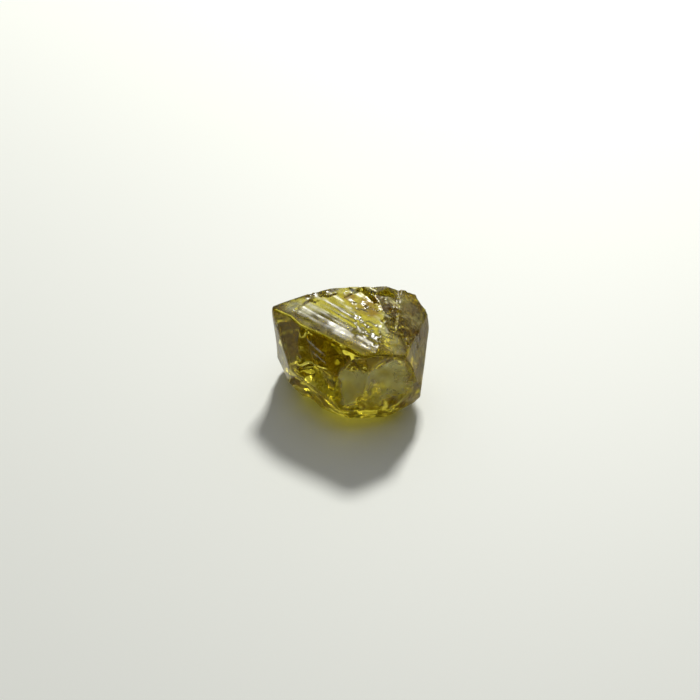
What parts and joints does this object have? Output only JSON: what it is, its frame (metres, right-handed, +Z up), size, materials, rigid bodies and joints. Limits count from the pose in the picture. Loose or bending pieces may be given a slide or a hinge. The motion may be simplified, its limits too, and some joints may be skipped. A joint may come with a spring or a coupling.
{
  "type": "rough diamond",
  "caption": "Loose rough diamond, a clear yellow-olive broken crystal with growth ledges, pits and shell-like breaks, lying on its flat underside.",
  "frame": {"origin": "under the middle of the stone's bounding box, on the flat underside that it lies on", "axes": "+Z up from the underside, +X along the stone's greatest width from its pointed corner to its block side, -Y towards the front with the shell-like breaks"},
  "size_m": [0.0066, 0.006, 0.0041],
  "materials": {
    "diamond": "clear adamantine, with frosted shell-like breaks and finely etched growth faces"
  },
  "bodies": {
    "root": {"rough_diamond": "diamond"}
  },
  "joints": []
}
